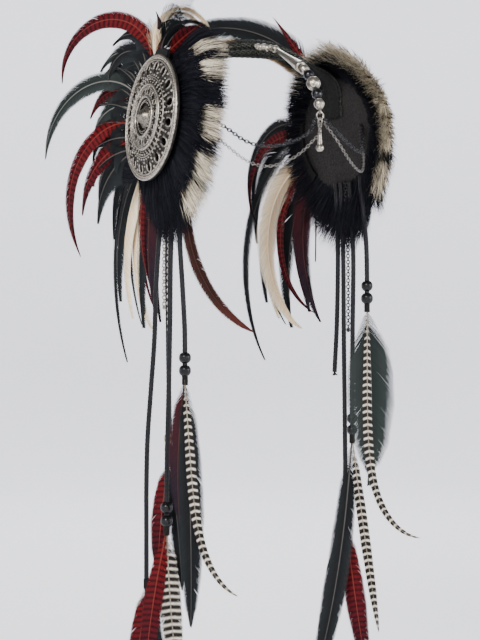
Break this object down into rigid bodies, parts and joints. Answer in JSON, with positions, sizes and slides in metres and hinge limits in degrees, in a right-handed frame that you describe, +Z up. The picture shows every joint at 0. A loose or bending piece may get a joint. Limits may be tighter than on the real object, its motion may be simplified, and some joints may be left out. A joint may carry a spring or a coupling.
{
  "type": "feathered headdress",
  "caption": "Lace headband with two round fur pads, pierced medallions, arching feather plumes, a beaded forehead string, chain swags and hanging laces with feathers.",
  "frame": {"origin": "middle of the band's underside, where it sits on the crown of the head", "axes": "+Z up, the wearer looks along -Y, the wearer's left is +X"},
  "size_m": [0.2758, 0.2278, 0.5762],
  "materials": {
    "band_lace": "open woven lace with a dull metallic thread",
    "antique_silver": "antique silver, darkened in its hollows",
    "gunmetal": "satin gunmetal",
    "fur": "deep soft fur, black with cream patches",
    "feather_black": "satin feather with a faint sheen",
    "feather_red": "barred dyed feather, satin",
    "leather_lace": "dull braided lace",
    "dark_bead": "polished",
    "gold_bead": "polished"
  },
  "bodies": {
    "root": {"headband": "band_lace", "crown_ornament": "antique_silver", "forehead_wire": "antique_silver", "forehead_cap": "antique_silver", "forehead_cone": "antique_silver", "forehead_bead_1": "antique_silver", "forehead_bead_2": "gunmetal", "forehead_bead_3": "antique_silver", "forehead_bead_4": "gunmetal", "forehead_bead_5": "antique_silver", "jump_ring_upper": "antique_silver", "jump_ring_lower": "antique_silver", "forehead_drop": "antique_silver", "swag_upper_left": "gunmetal", "swag_upper_right": "gunmetal", "swag_lower_left": "gunmetal", "swag_lower_right": "gunmetal", "fur_pad_left": "fur", "fur_pad_right": "fur", "medallion_left": "antique_silver", "medallion_right": "antique_silver", "medallion_stud_left": "antique_silver", "medallion_stud_right": "antique_silver", "fan_plume_left": "feather_red", "fan_plume_right": "feather_red", "nape_plume_left": "feather_black", "nape_plume_right": "feather_black", "crest_plume_left": "feather_black", "crest_plume_right": "feather_black", "cheek_feather_right": "feather_red", "lace_right_front": "leather_lace", "lace_right_middle": "leather_lace", "lace_right_long": "leather_lace", "lace_right_rear": "leather_lace", "lace_left_front": "leather_lace", "lace_left_middle": "leather_lace", "lace_left_long": "leather_lace", "lace_left_frayed": "leather_lace", "chain_right_rear": "antique_silver", "chain_right_front": "antique_silver", "chain_left_front": "antique_silver", "bead_right_front_lower": "dark_bead", "bead_right_front_upper": "dark_bead", "bead_right_middle_lower": "dark_bead", "bead_right_middle_upper": "gold_bead", "bead_right_long_lower": "dark_bead", "bead_right_long_upper": "dark_bead", "bead_left_front_lower": "dark_bead", "bead_left_front_upper": "dark_bead", "bead_left_middle_lower": "dark_bead", "bead_left_middle_upper": "dark_bead", "bead_left_long_lower": "dark_bead", "bead_left_long_upper": "gold_bead", "feather_drop_right_front": "feather_black", "feather_drop_right_middle": "feather_red", "feather_drop_right_long": "feather_black", "feather_drop_right_rear": "feather_black", "feather_drop_left_front": "feather_black", "feather_drop_left_middle": "feather_black", "feather_drop_left_long": "feather_black"}
  },
  "joints": []
}
